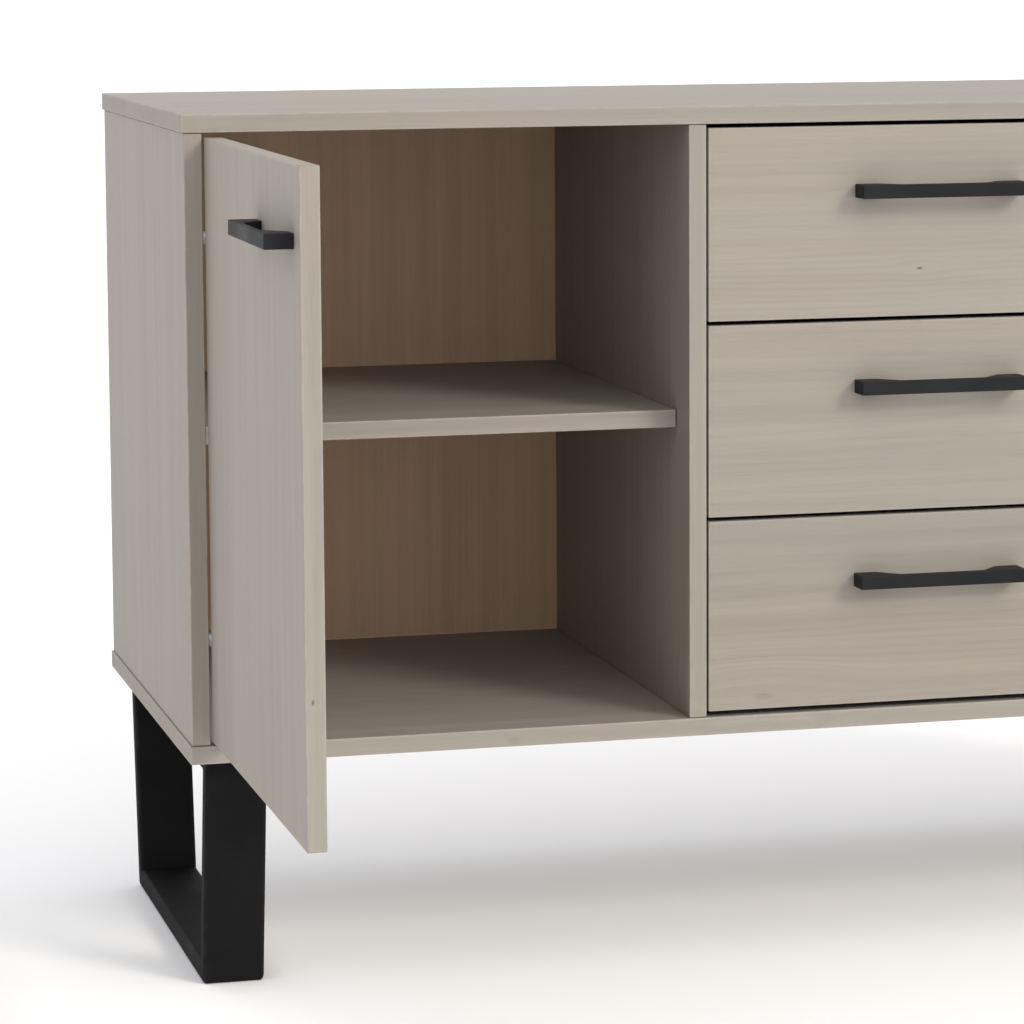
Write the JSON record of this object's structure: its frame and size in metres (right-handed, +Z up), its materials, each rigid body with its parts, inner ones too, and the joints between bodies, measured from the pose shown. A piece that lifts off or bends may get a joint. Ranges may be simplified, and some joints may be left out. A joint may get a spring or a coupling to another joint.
{
  "type": "sideboard buffet",
  "caption": "Low sideboard with a hinged door and shelf at each end, a stack of drawers between them, black bridge handles and two black sled legs.",
  "frame": {"origin": "on the floor, midway along the length, and midway between the back edge and the free edge of the left door, which stands open at rest; that is 29 mm behind the front edge of the top", "axes": "+X to the right along the front, +Y from the front to the back, +Z up"},
  "size_m": [1.5042, 0.9964, 0.847],
  "materials": {
    "greige_wood": "satin greige lacquer over fine straight grain",
    "inner_wood": "satin greige lacquer, inside the compartments",
    "back_board": "thin matt back board, warmer than the carcass",
    "drawer_wood": "clear-lacquered pale wood",
    "black_steel": "satin black powder coat",
    "black_handle": "satin black coat on a cast handle",
    "zinc_steel": "bright zinc plate on pressed steel"
  },
  "bodies": {
    "carcass": {"top_panel": "greige_wood", "bottom_panel": "greige_wood", "left_side_panel": "greige_wood", "right_side_panel": "greige_wood", "left_divider": "greige_wood", "right_divider": "greige_wood", "back_panel": "back_board", "left_shelf": "inner_wood", "right_shelf": "inner_wood", "left_leg_frame": "black_steel", "right_leg_frame": "black_steel", "left_door_lower_hinge_arm": "zinc_steel", "left_door_upper_hinge_arm": "zinc_steel", "right_door_lower_hinge_arm": "zinc_steel", "right_door_upper_hinge_arm": "zinc_steel", "lower_left_cabinet_runner": "zinc_steel", "lower_right_cabinet_runner": "zinc_steel", "middle_left_cabinet_runner": "zinc_steel", "middle_right_cabinet_runner": "zinc_steel", "upper_left_cabinet_runner": "zinc_steel", "upper_right_cabinet_runner": "zinc_steel"},
    "left_door": {"left_door_panel": "greige_wood", "left_door_handle": "black_handle", "left_door_lower_hinge_cup": "zinc_steel", "left_door_upper_hinge_cup": "zinc_steel"},
    "left_door_links": {"left_door_lower_hinge_link": "zinc_steel", "left_door_upper_hinge_link": "zinc_steel"},
    "right_door": {"right_door_panel": "greige_wood", "right_door_handle": "black_handle", "right_door_lower_hinge_cup": "zinc_steel", "right_door_upper_hinge_cup": "zinc_steel"},
    "right_door_links": {"right_door_lower_hinge_link": "zinc_steel", "right_door_upper_hinge_link": "zinc_steel"},
    "lower_drawer": {"lower_drawer_front": "greige_wood", "lower_drawer_left_side": "drawer_wood", "lower_drawer_right_side": "drawer_wood", "lower_drawer_back": "drawer_wood", "lower_drawer_bottom": "drawer_wood", "lower_drawer_handle": "black_handle", "lower_left_drawer_runner": "zinc_steel", "lower_right_drawer_runner": "zinc_steel"},
    "middle_drawer": {"middle_drawer_front": "greige_wood", "middle_drawer_left_side": "drawer_wood", "middle_drawer_right_side": "drawer_wood", "middle_drawer_back": "drawer_wood", "middle_drawer_bottom": "drawer_wood", "middle_drawer_handle": "black_handle", "middle_left_drawer_runner": "zinc_steel", "middle_right_drawer_runner": "zinc_steel"},
    "upper_drawer": {"upper_drawer_front": "greige_wood", "upper_drawer_left_side": "drawer_wood", "upper_drawer_right_side": "drawer_wood", "upper_drawer_back": "drawer_wood", "upper_drawer_bottom": "drawer_wood", "upper_drawer_handle": "black_handle", "upper_left_drawer_runner": "zinc_steel", "upper_right_drawer_runner": "zinc_steel"}
  },
  "joints": [
    {"name": "left_door_hinge", "type": "hinge", "parent": "carcass", "child": "left_door", "pos_m": [-0.7285, -0.02683, 0.25], "axis": [0, 0, -1], "range_deg": [-90, 5]},
    {"name": "left_door_link_turn", "type": "hinge", "parent": "carcass", "child": "left_door_links", "pos_m": [-0.7285, -0.02683, 0.25], "axis": [0, 0, -1], "range_deg": [-59, 3.3]},
    {"name": "right_door_hinge", "type": "hinge", "parent": "carcass", "child": "right_door", "pos_m": [0.7285, -0.02683, 0.25], "axis": [0, 0, 1], "range_deg": [0, 95]},
    {"name": "right_door_link_turn", "type": "hinge", "parent": "carcass", "child": "right_door_links", "pos_m": [0.7285, -0.02683, 0.25], "axis": [0, 0, 1], "range_deg": [0, 62.3]},
    {"name": "lower_drawer_slide", "type": "slide", "parent": "carcass", "child": "lower_drawer", "axis": [0, -1, 0], "range_m": [0, 0.34]},
    {"name": "middle_drawer_slide", "type": "slide", "parent": "carcass", "child": "middle_drawer", "axis": [0, -1, 0], "range_m": [0, 0.34]},
    {"name": "upper_drawer_slide", "type": "slide", "parent": "carcass", "child": "upper_drawer", "axis": [0, -1, 0], "range_m": [0, 0.34]}
  ],
  "couplings": [
    {"joint": "left_door_link_turn", "follows": "left_door_hinge", "ratio": 0.655},
    {"joint": "right_door_link_turn", "follows": "right_door_hinge", "ratio": 0.655}
  ]
}
